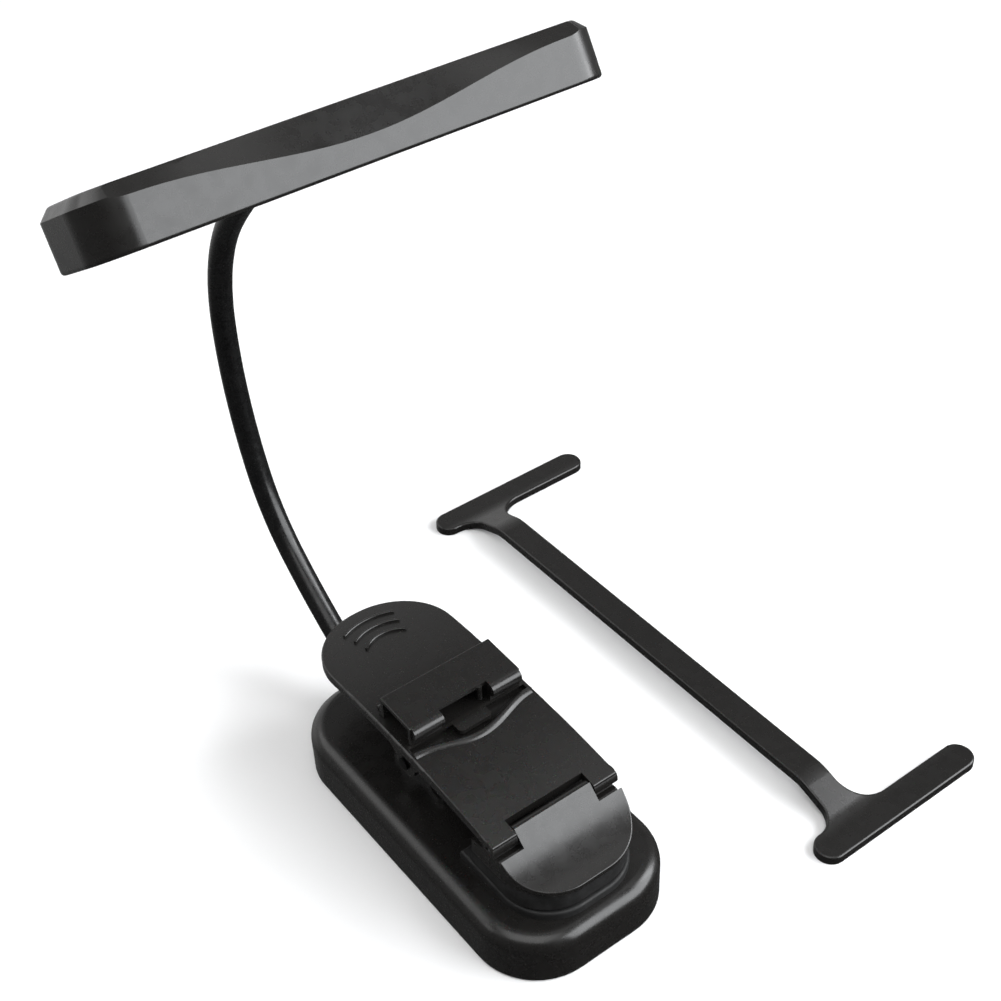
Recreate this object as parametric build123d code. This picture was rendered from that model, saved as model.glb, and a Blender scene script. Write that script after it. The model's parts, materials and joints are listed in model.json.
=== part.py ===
from build123d import *
import os
from math import cos, pi, radians, sin, sqrt

# Clip-on reading lamp with a gooseneck, a spring clip and a separate page holder.
# Millimetres. The origin is the centre of the base's underside, on the table.
# +X runs along the light head, +Y to the gooseneck's side, +Z up. The clip's jaw is at -Y.

# Base
BASE_W, BASE_L, BASE_TOP = 50.0, 101.0, 13.7
BASE_CORNER_R, BASE_EDGE_R = 17.0, 4.0
RIM_Z = 0.5
WALL = 1.8
ROOF = 2.0
COVER_TOP = 2.6
PAD_W, PAD_L, PAD_R, PAD_T = 43.6, 94.6, 14.8, 1.0
BASE_SCREWS = [(-20.2, -24.0), (20.2, -24.0), (-19.6, 34.0), (19.6, 34.0)]
FIT = 0.1

# Controls on the right wall
CONTROL_Z = 7.0
USB_Y, LIGHT_Y = 24.0, 14.5
BUTTON_Y = {"power_button": 3.0, "brightness_button": -11.0}
BUTTON_L, BUTTON_H = 9.0, 3.8
BOARD_Z, BOARD_T, BOARD_EDGE = 4.4, 1.0, 20.8

# Clip pivot and lever
PIVOT_Y, PIVOT_Z, PIVOT_R = 10.0, 22.0, 1.25
LEVER_W = 36.3
LEVER_FRONT, LEVER_REAR = -31.5, 52.3
LEVER_T = 2.4
ARCH_R, ARCH_Y, ARCH_Z = 340.0, 13.0, 35.2
REAR_CORNER_R = 17.6
LEVER_RIM_R = 0.5
GRIP_Y, GRIP_RADII, GRIP_HALVES = 31.6, (8.4, 12.1, 15.8), (5.9, 6.7, 7.5)
GRIP_WIDTH, GRIP_RISE = 0.8, 0.35
NOSE_Y, NOSE_Z = -29.7, 30.3
SLOT_HALF, SLOT_REAR = 11.3, -26.9
KNUCKLE_R = 2.2

# Bracket and spring
BRACKET_SCREWS = [(-6.0, 3.0), (6.0, 3.0), (-6.0, 17.0), (6.0, 17.0)]
BRACKET_T = 2.0
BRACKET_EAR_X, LEVER_EAR_X = 10.5, 13.2
SPRING_R, SPRING_WIRE_R, SPRING_PITCH, SPRING_TURNS = 3.2, 0.55, 1.35, 10.425
SPRING_LEG, SPRING_LEG_ANGLE = 18.5, 195.0

# Jaw
JAW_FRONT, JAW_REAR = -46.4, -22.0
JAW_HALF, JAW_CORNER_R = 17.9, 14.0
LOWER_PAD_TOP, UPPER_PAD_BOTTOM = 15.9, 16.2
NOSE_BLOCK_Z = 22.0
JAW_FRONT_Z, LIP_T, LIP_RIM_R = 23.7, 1.3, 0.35

# Page holder's cover on the lever
CHANNEL_FRONT, CHANNEL_REAR = 3.9, 14.4
COVER_HALF = 16.15
COVER_FRONT_Z, COVER_REAR_Z = 41.0, 41.6
COVER_WALL = 1.0
COVER_BOTTOM, COVER_RIM_R = 35.5, 0.3
SNAP_X, SNAP_Y, SNAP_R = 5.2, 4.5, 0.7
COVER_PIN_Y, COVER_PIN_Z, COVER_PIN_R = 16.3, 36.6, 0.6
NOTCH_HALF = 7.2
LUG_HALF = 11.6
POCKET_FLOOR, POCKET_HALF = 33.9, 17.0
POCKET_FOOT, POCKET_STEP, POCKET_BROW = (2.3, 3.9, POCKET_FLOOR), (1.9, 3.9, 34.3), (-1.4, 4.4, 35.04)

# Gooseneck: its line leaves the base's rear wall and runs through tangent arcs in the plane X = 0
NECK_R, NECK_BORE_R, CORE_R = 3.1, 2.1, 1.9
NECK_START = (50.5, 8.64)
NECK_START_ANGLE = 27.8
NECK_ARCS = [(16.5, 141.0), (27.0, 53.0), (21.5, 120.0), (37.5, 60.0), (19.5, 147.0)]
NECK_JOINTS = [10.0, 48.0, 88.0, 128.0, 168.0]
JOINT_GAP = 1.0
NECK_BODIES = ["root", "lower", "middle_low", "middle_high", "upper", "top"]

# Light head, in its own frame: x along it, y from its front face to the neck, z up its thickness
HEAD_L, HEAD_D, HEAD_T = 119.6, 32.8, 13.0
HEAD_CORNER_R, HEAD_BEVEL = 9.6, 3.1
HEAD_END_BEVEL, HEAD_END_ROUND, HEAD_LOWER_R = 2.4, 1.4, 0.8
NECK_ENTRY_Z = 6.3
HEAD_WALL = 1.5
WAVE_DEPTH, WAVE_HALF, WAVE_POWER, WAVE_STEP = 4.6, 52.0, 1.1, 6.2
WINDOW_L, WINDOW_D, WINDOW_R = 104.0, 20.0, 5.0
TRAY_L, TRAY_D = 106.8, 25.0
LED_PITCH, LEDS_IN_ROW = 10.0, 10
HEAD_SCREW_X = 56.2

# Page holder, lying on the table beside the lamp
HOLDER_X, HOLDER_Y, HOLDER_SPAN = 71.0, 17.5, 159.7
BAR_W, BAR_T, BAR_RISE, BAR_RIM_R = 8.3, 2.4, 4.6, 0.6
PRONG_IN, PRONG_OUT = 14.3, 40.3


def save(shape, node):
    export_step(shape, f"parts/{node}.step")


def block(x0, x1, y0, y1, z0, z1):
    return Pos((x0 + x1) / 2, (y0 + y1) / 2, (z0 + z1) / 2) * Box(x1 - x0, y1 - y0, z1 - z0)


def slab(width, length, corner, z0, z1, y=0.0):
    return Pos(0, y, z0) * extrude(RectangleRounded(width, length, corner), z1 - z0)


def rod_x(x0, x1, y, z, radius):
    return Pos((x0 + x1) / 2, y, z) * Rot(0, 90, 0) * Cylinder(radius, x1 - x0)


def rod_z(x, y, z0, z1, radius):
    return Pos(x, y, (z0 + z1) / 2) * Cylinder(radius, z1 - z0)


def both_sides(shape):
    return shape + mirror(shape, Plane.YZ)


def d_prism(half_width, front, rear, corner, z0, z1):
    """Upright prism with a straight rear edge and two large rounded corners at the front."""
    outline = Pos(0, (front + rear) / 2) * Rectangle(2 * half_width, rear - front)
    outline = fillet(outline.vertices().group_by(Axis.Y)[0], corner)
    return Pos(0, 0, z0) * extrude(outline, z1 - z0)


def side_profile(half_width, line):
    """Extrudes a closed outline given in (y, z) by half_width to each side of X = 0."""
    return extrude(Plane.YZ * make_face(line), half_width, both=True)


def top_rim(shape):
    """Edges where faces that look up meet upright ones."""
    upright = [edge for face in shape.faces() if abs(face.normal_at().Z) < 0.1 for edge in face.edges()]
    upward = [edge for face in shape.faces() if face.normal_at().Z > 0.5 for edge in face.edges()]
    return [edge for edge in upward if any(edge.is_same(other) for other in upright)]


def lever_top(y):
    return ARCH_Z - ARCH_R + sqrt(ARCH_R**2 - (y - ARCH_Y) ** 2)


# ---------------------------------------------------------------- base

def pill_x(x0, x1, y, z, length, height):
    """Rounded bar along X, length in Y and height in Z."""
    outline = Plane.YZ * Pos(y, z) * RectangleRounded(length, height, 0.49 * height)
    return Pos(x0, 0, 0) * extrude(outline, x1 - x0)


def neck_tube(start, end, radius):
    section = Plane(origin=neck_point(start), z_dir=neck_direction(start)) * Circle(radius)
    return sweep(section, neck_wire(start, end))


def base_top_shell():
    body = slab(BASE_W, BASE_L, BASE_CORNER_R, RIM_Z, BASE_TOP)
    body = fillet(body.faces().sort_by(Axis.Z)[-1].edges(), BASE_EDGE_R)
    inner_w, inner_l = BASE_W - 2 * WALL, BASE_L - 2 * WALL
    cavity = slab(inner_w, inner_l, BASE_CORNER_R - WALL, 0, BASE_TOP - ROOF)
    cavity = fillet(cavity.faces().sort_by(Axis.Z)[-1].edges(), BASE_EDGE_R - WALL)
    body -= cavity
    for x, y in BASE_SCREWS:
        body += rod_z(x, y, COVER_TOP + FIT, BASE_TOP - ROOF + 0.5, 2.4)
        body -= rod_z(x, y, 0, 9.0, 0.9)
    body -= ferrule_body(4.25)
    body -= pill_x(20, 30, USB_Y, CONTROL_Z, 9.4, 3.7)
    body -= rod_x(20, 30, LIGHT_Y, CONTROL_Z, 1.2)
    for y in BUTTON_Y.values():
        body -= pill_x(20, 30, y, CONTROL_Z, BUTTON_L + 0.5, BUTTON_H + 0.5)
    for x, y in BRACKET_SCREWS:
        body -= rod_z(x, y, 10, 20, 1.1)
    return body


def base_bottom_cover():
    inner_w, inner_l = BASE_W - 2 * (WALL + FIT), BASE_L - 2 * (WALL + FIT)
    body = slab(inner_w, inner_l, BASE_CORNER_R - WALL - FIT, RIM_Z, COVER_TOP)
    body -= slab(PAD_W + 0.2, PAD_L + 0.2, PAD_R + 0.1, 0, PAD_T)
    for x, y in BASE_SCREWS:
        body -= rod_z(x, y, 0, 5, 1.0)
        body -= rod_z(x, y, 0, 1.9, 2.1)
    for x in (-15.0, 18.0):
        for y in (-2.0, 26.0):
            body += rod_z(x, y, COVER_TOP - 0.5, BOARD_Z, 1.6)
    return body


def base_screws():
    return Compound([rod_z(x, y, 1.05, 1.85, 1.9) + rod_z(x, y, 1.5, 8.0, 0.85) for x, y in BASE_SCREWS])


def antislip_pad():
    pad = slab(PAD_W, PAD_L, PAD_R, 0, PAD_T)
    for row in range(-5, 6):
        pad -= Pos(0, row * 7.6, 0) * Box(PAD_W - 10, 1.2, 0.6)
    return pad


def main_board():
    board = block(-20, BOARD_EDGE, -5, 29, BOARD_Z, BOARD_Z + BOARD_T)
    board += block(BOARD_EDGE, 22.6, USB_Y - 5.5, 29, BOARD_Z, BOARD_Z + BOARD_T)
    chips = [(-12, 2, 5, 5), (-6, 16, 7, 4), (4, 8, 4, 4), (-13, 22, 6, 3), (8, -1.5, 3, 2)]
    for x, y, length, width in chips:
        board += Pos(x, y, BOARD_Z + BOARD_T + 0.4) * Box(length, width, 1.2)
    return board


def usb_c_socket():
    z0 = CONTROL_Z
    shell = pill_x(16.6, 24.5, USB_Y, z0, 8.9, 3.2) - pill_x(17.4, 30, USB_Y, z0, 8.3, 2.6)
    tongue = block(17.2, 23.6, USB_Y - 3.3, USB_Y + 3.3, z0 - 0.35, z0 + 0.35)
    return shell + tongue


def tact_switches():
    base = BOARD_Z + BOARD_T
    switches = [
        block(17.6, 20.2, y - 2.2, y + 2.2, base, 8.8) + rod_x(20.0, 21.2, y, CONTROL_Z, 0.9)
        for y in BUTTON_Y.values()
    ]
    return Compound(switches)


def button(y):
    cap = pill_x(22.4, 25.8, y, CONTROL_Z, BUTTON_L, BUTTON_H)
    cap = fillet(cap.faces().sort_by(Axis.X)[-1].edges(), 0.5)
    return cap + pill_x(21.9, 22.9, y, CONTROL_Z, BUTTON_L + 2.0, BUTTON_H + 1.2)


def charge_light_pipe():
    return rod_x(22.0, 25.1, LIGHT_Y, CONTROL_Z, 1.1) + rod_x(21.4, 22.6, LIGHT_Y, CONTROL_Z, 1.5)


def lower_jaw_pad():
    pad = d_prism(17.0, -46.2, -16.0, 13.3, BASE_TOP, LOWER_PAD_TOP)
    pad = fillet(pad.faces().sort_by(Axis.Z)[-1].edges(), 0.7)
    for row in range(6):
        pad -= block(-12, 12, -41.0 + 4.2 * row, -39.6 + 4.2 * row, LOWER_PAD_TOP - 0.6, LOWER_PAD_TOP + 1)
    return pad


# ---------------------------------------------------------------- clip

def pivot_bracket():
    plate = slab(23.2, 22.0, 2.0, BASE_TOP, BASE_TOP + BRACKET_T, PIVOT_Y)
    ear = side_profile(
        1.1,
        Polyline((1.5, BASE_TOP), (18.5, BASE_TOP), (PIVOT_Y + 3.6, PIVOT_Z), (PIVOT_Y - 3.6, PIVOT_Z), close=True),
    )
    ear += rod_x(-1.1, 1.1, PIVOT_Y, PIVOT_Z, 3.6)
    body = plate + both_sides(Pos(BRACKET_EAR_X, 0, 0) * ear)
    body -= rod_x(-20, 20, PIVOT_Y, PIVOT_Z, PIVOT_R + 0.02)
    for x, y in BRACKET_SCREWS:
        body -= rod_z(x, y, 10, 15.3, 1.0)
    return body


def bracket_screws():
    top = BASE_TOP - ROOF
    return Compound(
        [rod_z(x, y, top - 1.4, top - 0.02, 1.9) + rod_z(x, y, top - 1, 15.1, 0.95) for x, y in BRACKET_SCREWS]
    )


def hinge_pin():
    pin = rod_x(-14.6, 14.6, PIVOT_Y, PIVOT_Z, PIVOT_R)
    return pin + both_sides(rod_x(14.35, 14.9, PIVOT_Y, PIVOT_Z, 1.7))


def torsion_spring():
    """Coil round the hinge pin. One leg leaves its top for the lever, the other its bottom for the base."""
    length = SPRING_PITCH * SPRING_TURNS
    helix = Helix(SPRING_PITCH, length, SPRING_R)
    wire = Circle(SPRING_WIRE_R)
    spring = sweep(Plane(origin=helix @ 0, z_dir=helix % 0) * wire, helix, is_frenet=True)
    spring += Plane(origin=helix @ 0, z_dir=-(helix % 0)) * extrude(wire, SPRING_LEG)
    spring += Plane(origin=helix @ 1, z_dir=helix % 1) * extrude(wire, SPRING_LEG)
    return Pos(-length / 2, PIVOT_Y, PIVOT_Z) * Rot(SPRING_LEG_ANGLE, 0, 0) * Rot(0, 90, 0) * spring


def lever_blank():
    """The arched plate: a band of even thickness, cut to the lever's plan outline."""
    front, rear = LEVER_FRONT - 2, LEVER_REAR + 2
    top = ThreePointArc((front, lever_top(front)), (ARCH_Y, ARCH_Z), (rear, lever_top(rear)))
    under = ThreePointArc(
        (rear, lever_top(rear) - LEVER_T), (ARCH_Y, ARCH_Z - LEVER_T), (front, lever_top(front) - LEVER_T)
    )
    band = side_profile(
        LEVER_W,
        [top, Line(top @ 1, under @ 0), under, Line(under @ 1, top @ 0)],
    )
    middle = (LEVER_FRONT + LEVER_REAR) / 2
    plan = Pos(0, middle) * Rectangle(LEVER_W, LEVER_REAR - LEVER_FRONT)
    plan = fillet(plan.vertices().group_by(Axis.Y)[-1], REAR_CORNER_R)
    return band & extrude(plan, 60)


def wave_line(offset, rise, half):
    """Smooth bow across the lever: flat at both sides, bulging to the front in the middle."""
    count = 12
    xs = [-half + 2 * half * step / count for step in range(count + 1)]
    return Spline([(x, offset - rise * cos(pi * x / (2 * half)) ** 2) for x in xs])


def pocket(front, rise, z):
    """Level outline at height z of the pocket, whose front edge bows forward by rise."""
    half = POCKET_HALF
    line = wave_line(front, rise, half)
    rear = CHANNEL_FRONT - 0.4
    edges = [line, Line(line @ 1, (half, rear)), Line((half, rear), (-half, rear)), Line((-half, rear), line @ 0)]
    return Pos(0, 0, z) * make_face(edges)


def press_lever():
    body = lever_blank()
    body = fillet(top_rim(body), LEVER_RIM_R)
    knuckle = rod_x(SLOT_HALF, LEVER_W / 2, NOSE_Y, NOSE_Z, KNUCKLE_R)
    body += both_sides(knuckle)
    body -= block(-SLOT_HALF, SLOT_HALF, LEVER_FRONT - 5, SLOT_REAR, 20, 40)
    # pocket in front of the cover: a shallow crescent slope, then a steep step down to its floor
    step = pocket(*POCKET_STEP)
    body -= loft([pocket(*POCKET_FOOT), step], ruled=True)
    body -= loft([step, pocket(*POCKET_BROW)], ruled=True)
    # finger grips: three concentric raised arcs near the rear end
    for radius, half in zip(GRIP_RADII, GRIP_HALVES):
        ring = Circle(radius + GRIP_WIDTH / 2) - Circle(radius - GRIP_WIDTH / 2)
        ridge = ring & Pos(0, radius) * Rectangle(2 * half, radius)
        ridge = Pos(0, GRIP_Y, 28) * extrude(ridge, 10)
        body += ridge & (Pos(0, 0, GRIP_RISE) * lever_blank())
    # two ears carry the lever on the clip's hinge pin
    ear = side_profile(
        1.0,
        Polyline((-6, 33.6), (26, 33.2), (PIVOT_Y + 4, PIVOT_Z), (PIVOT_Y - 4, PIVOT_Z), close=True),
    )
    ear += rod_x(-1.0, 1.0, PIVOT_Y, PIVOT_Z, 4.0)
    body += both_sides(Pos(LEVER_EAR_X, 0, 0) * ear)
    # central lug for the cover's pin
    lug = rod_x(-LUG_HALF, LUG_HALF, COVER_PIN_Y, COVER_PIN_Z, 1.4)
    lug += block(-LUG_HALF, LUG_HALF, COVER_PIN_Y - 1.0, COVER_PIN_Y + 1.4, 34.0, COVER_PIN_Z)
    body += lug
    body -= rod_x(-30, 30, COVER_PIN_Y, COVER_PIN_Z, COVER_PIN_R + 0.02)
    body -= rod_x(-30, 30, NOSE_Y, NOSE_Z, 0.82)
    body -= rod_x(-30, 30, PIVOT_Y, PIVOT_Z, PIVOT_R + 0.05)
    return body


def nose_pin():
    return rod_x(-17.8, 17.8, NOSE_Y, NOSE_Z, 0.8)


def cover_pin():
    return rod_x(-15.8, 15.8, COVER_PIN_Y, COVER_PIN_Z, COVER_PIN_R)


def cover_catch():
    tongue = block(-4.8, 4.8, -1.4, 1.8, 35.0, 36.1)
    tongue = fillet(tongue.edges().filter_by(Axis.Z).group_by(Axis.Y)[0], 1.2)
    return tongue + block(-3.6, 3.6, 0.2, 1.7, POCKET_FLOOR, 35.4)


def nose_flap():
    """Jaw nose: a thin D-shaped lip with a hollow-curved top over a smaller block, on a hinge barrel."""
    crest = Line((-30.2, 32.6), (-32.6, 30.2))
    crown = TangentArc(crest @ 1, (JAW_FRONT, JAW_FRONT_Z), tangent=(-1, -1))
    below = ThreePointArc((JAW_FRONT, JAW_FRONT_Z - LIP_T), (-36.6, 26.0), (-33.2, 28.2))
    lip_side = [crest, crown, Line(crown @ 1, below @ 0), below, Line(below @ 1, crest @ 0)]
    lip = side_profile(JAW_HALF, lip_side)
    lip &= d_prism(JAW_HALF, JAW_FRONT, -20, JAW_CORNER_R, 15, 40)
    lip = fillet(top_rim(lip), LIP_RIM_R)
    knuckle_room = block(SLOT_HALF - 0.3, 30, -33.7, -10, 15, 45)
    lip -= both_sides(knuckle_room)
    inner = side_profile(
        20,
        Polyline(
            (JAW_FRONT + 1.5, NOSE_BLOCK_Z),
            (JAW_FRONT + 1.5, 22.9),
            (-35.2, 27.2),
            (-32.4, 28.0),
            (-29.7, 28.0),
            (JAW_REAR, 26.4),
            (JAW_REAR, NOSE_BLOCK_Z),
            close=True,
        ),
    )
    inner &= d_prism(JAW_HALF - 0.5, JAW_FRONT + 1.3, JAW_REAR, JAW_CORNER_R - 0.5, 15, 40)
    inner -= both_sides(rod_x(10.9, 30, NOSE_Y, NOSE_Z, KNUCKLE_R + 0.5))
    barrel = rod_x(-10.9, 10.9, NOSE_Y, NOSE_Z, 2.0)
    barrel += block(-10.9, 10.9, -32.6, NOSE_Y + 1.2, 26.5, 29.9)
    return lip + inner + barrel - rod_x(-30, 30, NOSE_Y, NOSE_Z, 0.85)


def nose_pad():
    pad = d_prism(JAW_HALF - 0.9, JAW_FRONT + 0.9, JAW_REAR + 1.0, JAW_CORNER_R - 0.9, UPPER_PAD_BOTTOM, NOSE_BLOCK_Z)
    pad = fillet(pad.faces().sort_by(Axis.Z)[0].edges(), 0.8)
    for row in range(4):
        pad -= block(-12, 12, -40.9 + 4.2 * row, -39.7 + 4.2 * row, UPPER_PAD_BOTTOM - 1, UPPER_PAD_BOTTOM + 0.6)
    return pad


def holder_cover():
    """Flip cover: roof, rear wall, snap post and a front wall under a rolled edge, over an open-ended channel."""
    roof_line = Polyline(
        (CHANNEL_FRONT - 1.0, COVER_BOTTOM),
        (CHANNEL_FRONT - 1.0, COVER_FRONT_Z),
        (CHANNEL_REAR + COVER_WALL, COVER_REAR_Z),
        (CHANNEL_REAR + COVER_WALL, COVER_BOTTOM),
        close=True,
    )
    body = side_profile(COVER_HALF, roof_line)
    body = fillet(top_rim(body), COVER_RIM_R)
    roll_half, roll_r = COVER_HALF - 0.4, 1.9
    body += rod_x(-roll_half, roll_half, CHANNEL_FRONT - 0.8, COVER_FRONT_Z - roll_r, roll_r)
    inside = Polyline(
        (CHANNEL_FRONT, COVER_BOTTOM - 1),
        (CHANNEL_FRONT, COVER_FRONT_Z - COVER_WALL),
        (CHANNEL_REAR, COVER_REAR_Z - COVER_WALL),
        (CHANNEL_REAR, COVER_BOTTOM - 1),
        close=True,
    )
    body -= side_profile(COVER_HALF + 1, inside)
    body -= block(-NOTCH_HALF, NOTCH_HALF, -5, CHANNEL_FRONT + 0.5, 30, 45)
    body -= block(-LUG_HALF - 0.3, LUG_HALF + 0.3, CHANNEL_REAR - 0.5, 20, 30, 38.5)
    ear = rod_x(LUG_HALF + 0.3, COVER_HALF, COVER_PIN_Y, COVER_PIN_Z, 1.25)
    ear += block(LUG_HALF + 0.3, COVER_HALF, CHANNEL_REAR + 0.2, COVER_PIN_Y, COVER_BOTTOM, COVER_PIN_Z + 1.4)
    body += both_sides(ear)
    body += rod_z(SNAP_X, SNAP_Y, 36.4, COVER_FRONT_Z - 0.5, SNAP_R)
    return body - rod_x(-30, 30, COVER_PIN_Y, COVER_PIN_Z, COVER_PIN_R + 0.04)


# ---------------------------------------------------------------- gooseneck

def neck_pieces(start, end):
    """Cuts the neck's line between two lengths into straight leads and arcs: (y, z, angle, length, radius)."""
    y, z = NECK_START
    angle = radians(NECK_START_ANGLE)
    pieces = []
    if start < 0:
        pieces.append((y + start * cos(angle), z + start * sin(angle), angle, min(end, 0) - start, None))
    at = 0.0
    for turn, radius in NECK_ARCS:
        length = radians(turn) * radius
        low, high = max(start, at), min(end, at + length)
        if high > low:
            skipped = (low - at) / radius
            a = angle + skipped
            piece_y = y + radius * (sin(a) - sin(angle))
            piece_z = z - radius * (cos(a) - cos(angle))
            pieces.append((piece_y, piece_z, a, high - low, radius))
        y += radius * (sin(angle + radians(turn)) - sin(angle))
        z -= radius * (cos(angle + radians(turn)) - cos(angle))
        angle += radians(turn)
        at += length
    if end > at:
        low = max(start, at)
        pieces.append((y + (low - at) * cos(angle), z + (low - at) * sin(angle), angle, end - low, None))
    return pieces


def along(piece, length):
    """Position and angle at a length along one piece of the neck's line."""
    y, z, angle, _, radius = piece
    if radius is None:
        return y + length * cos(angle), z + length * sin(angle), angle
    a = angle + length / radius
    return y + radius * (sin(a) - sin(angle)), z - radius * (cos(a) - cos(angle)), a


def neck_at(distance):
    return along(neck_pieces(distance, distance + 1e-3)[0], 0)


def neck_point(distance):
    y, z, _ = neck_at(distance)
    return (0, y, z)


def neck_direction(distance):
    angle = neck_at(distance)[2]
    return (0, cos(angle), sin(angle))


def neck_wire(start, end):
    edges = []
    for piece in neck_pieces(start, end):
        points = [(0, *along(piece, share * piece[3])[:2]) for share in (0, 0.5, 1)]
        straight = piece[4] is None
        edges.append(Line(points[0], points[2]) if straight else ThreePointArc(*points))
    return Wire(edges)


NECK_LENGTH = sum(radians(turn) * radius for turn, radius in NECK_ARCS)


def neck_sleeve(start, end):
    return neck_tube(start, end, NECK_R) - neck_tube(start - 0.01, end + 0.01, NECK_BORE_R)


def neck_core(start, joint):
    """Flexible core of one segment, with a ball that seats in the next segment's bore."""
    return neck_tube(start, joint, CORE_R) + Pos(*neck_point(joint)) * Sphere(CORE_R)


def ferrule_body(radius):
    return neck_tube(-3.2, 3.5, radius)


def neck_ferrule():
    ring = ferrule_body(4.2)
    ring = fillet(ring.faces().sort_by(Axis.Y)[-1].edges(), 0.6)
    return ring - neck_tube(-4, 5, NECK_R + 0.05)


def save_neck():
    starts = [-3.0] + [joint + JOINT_GAP for joint in NECK_JOINTS]
    ends = [joint - JOINT_GAP for joint in NECK_JOINTS] + [NECK_LENGTH + 1.4]
    for name, start, end in zip(NECK_BODIES, starts, ends):
        save(neck_sleeve(start, end), f"neck_sleeve_{name}")
    core_starts = [-3.0] + [joint + CORE_R + 0.4 for joint in NECK_JOINTS]
    for name, start, joint in zip(NECK_BODIES, core_starts, NECK_JOINTS):
        save(neck_core(start, joint), f"neck_core_{name}")
    save(neck_tube(core_starts[-1], NECK_LENGTH + 1.4, CORE_R), "neck_core_top")


# ---------------------------------------------------------------- light head

def head_place():
    """The head's own frame, set so that the neck meets the middle of its rear wall squarely."""
    _, y, z = neck_point(NECK_LENGTH)
    _, along_y, along_z = neck_direction(NECK_LENGTH)
    back = (0, -along_y, -along_z)
    up = (0, -back[2], back[1])
    rise = NECK_ENTRY_Z
    corner = (0, y - HEAD_D * back[1] - rise * up[1], z - HEAD_D * back[2] - rise * up[2])
    return Plane(origin=corner, x_dir=(1, 0, 0), z_dir=up).location


def head_slab(length, depth, corner, z0, z1):
    return slab(length, depth, corner, z0, z1, HEAD_D / 2)


def wave_height(x):
    inner_x = min(abs(x), WAVE_HALF)
    return HEAD_T - HEAD_BEVEL - WAVE_DEPTH * (cos(pi * inner_x / (2 * WAVE_HALF)) ** 2) ** WAVE_POWER


def wave_cutter():
    """Cuts the front bevel, whose lower line dips in a wave while its upper line stays straight."""
    sections = []
    for step in range(-10, 11):
        x = step * WAVE_STEP
        low = wave_height(x)
        rise = HEAD_T - low
        top = (HEAD_BEVEL * 1.2, HEAD_T + 0.2 * rise)
        bottom = (-HEAD_BEVEL * 0.3, low - 0.3 * rise)
        section = make_face(Polyline(top, bottom, (-6.0, HEAD_T + 2), close=True))
        sections.append(Plane(origin=(x, 0, 0), x_dir=(0, 1, 0), z_dir=(1, 0, 0)) * section)
    return loft(sections)


def head_top_shell():
    body = head_slab(HEAD_L, HEAD_D, HEAD_CORNER_R, 0, HEAD_T)
    body = fillet(body.faces().sort_by(Axis.Z)[0].edges(), HEAD_LOWER_R)
    body = chamfer(body.faces().sort_by(Axis.Z)[-1].edges(), HEAD_END_BEVEL)
    body = fillet(body.faces().sort_by(Axis.Z)[-1].edges(), HEAD_END_ROUND)
    body -= wave_cutter()
    inner_l, inner_d = HEAD_L - 2 * HEAD_WALL, HEAD_D - 2 * HEAD_WALL
    body -= head_slab(inner_l, inner_d, HEAD_CORNER_R - HEAD_WALL, -1, 7.1)
    body -= block(-50, 50, 8, HEAD_D - 4, 7.0, HEAD_T - 1.6)
    for side in (-1, 1):
        body += rod_z(side * HEAD_SCREW_X, HEAD_D / 2, 2.0, 7.5, 1.6)
        body -= rod_z(side * HEAD_SCREW_X, HEAD_D / 2, 0, 6.5, 0.65)
    entry = Pos(0, HEAD_D - 1, NECK_ENTRY_Z) * Rot(90, 0, 0) * Cylinder(NECK_R + 0.3, 8)
    return body - entry


def head_bezel():
    body = head_slab(HEAD_L - 2 * HEAD_WALL - 0.3, HEAD_D - 2 * HEAD_WALL - 0.3, HEAD_CORNER_R - 1.65, 0.3, 1.8)
    body -= head_slab(WINDOW_L, WINDOW_D, WINDOW_R, -1, 3)
    for side in (-1, 1):
        body -= rod_z(side * HEAD_SCREW_X, HEAD_D / 2, -1, 3, 0.75)
        body -= rod_z(side * HEAD_SCREW_X, HEAD_D / 2, -1, 1.1, 1.4)
    return body


def diffuser():
    flange = head_slab(TRAY_L, TRAY_D, 6.0, 1.85, 3.2)
    return flange + head_slab(WINDOW_L - 0.3, WINDOW_D - 0.3, WINDOW_R - 0.15, 0.7, 2.0)


def reflector_tray():
    return head_slab(TRAY_L, TRAY_D, 6.0, 3.25, 5.5) - head_slab(TRAY_L - 6, TRAY_D - 6, 4.0, 3, 6)


def led_board():
    return head_slab(TRAY_L, TRAY_D, 6.0, 5.55, 6.5)


def leds():
    rows = [HEAD_D / 2 - 4.5, HEAD_D / 2 + 4.5]
    columns = [(index - (LEDS_IN_ROW - 1) / 2) * LED_PITCH for index in range(LEDS_IN_ROW)]
    return Compound([Pos(x, y, 5.1) * Box(3.0, 2.8, 0.9) for x in columns for y in rows])


def head_screws():
    return Compound(
        [
            rod_z(side * HEAD_SCREW_X, HEAD_D / 2, 0.45, 1.05, 1.3)
            + rod_z(side * HEAD_SCREW_X, HEAD_D / 2, 1.0, 5.5, 0.6)
            for side in (-1, 1)
        ]
    )


def neck_collar():
    """Collar outside the head's rear wall, with a nut inside it."""
    outside = Pos(0, HEAD_D + 2.05, NECK_ENTRY_Z) * Rot(90, 0, 0) * Cylinder(4.4, 4.0)
    outside = fillet(outside.faces().sort_by(Axis.Y)[-1].edges(), 0.7)
    spigot = Pos(0, HEAD_D - 1, NECK_ENTRY_Z) * Rot(90, 0, 0) * Cylinder(NECK_R + 0.25, 3.4)
    bore = Pos(0, HEAD_D, NECK_ENTRY_Z) * Rot(90, 0, 0) * Cylinder(NECK_R + 0.05, 20)
    return outside + spigot - bore


def save_head():
    place = head_place()
    builders = [
        head_top_shell,
        head_bezel,
        diffuser,
        reflector_tray,
        led_board,
        leds,
        head_screws,
        neck_collar,
    ]
    for builder in builders:
        save(place * builder(), builder.__name__)


# ---------------------------------------------------------------- page holder

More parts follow.
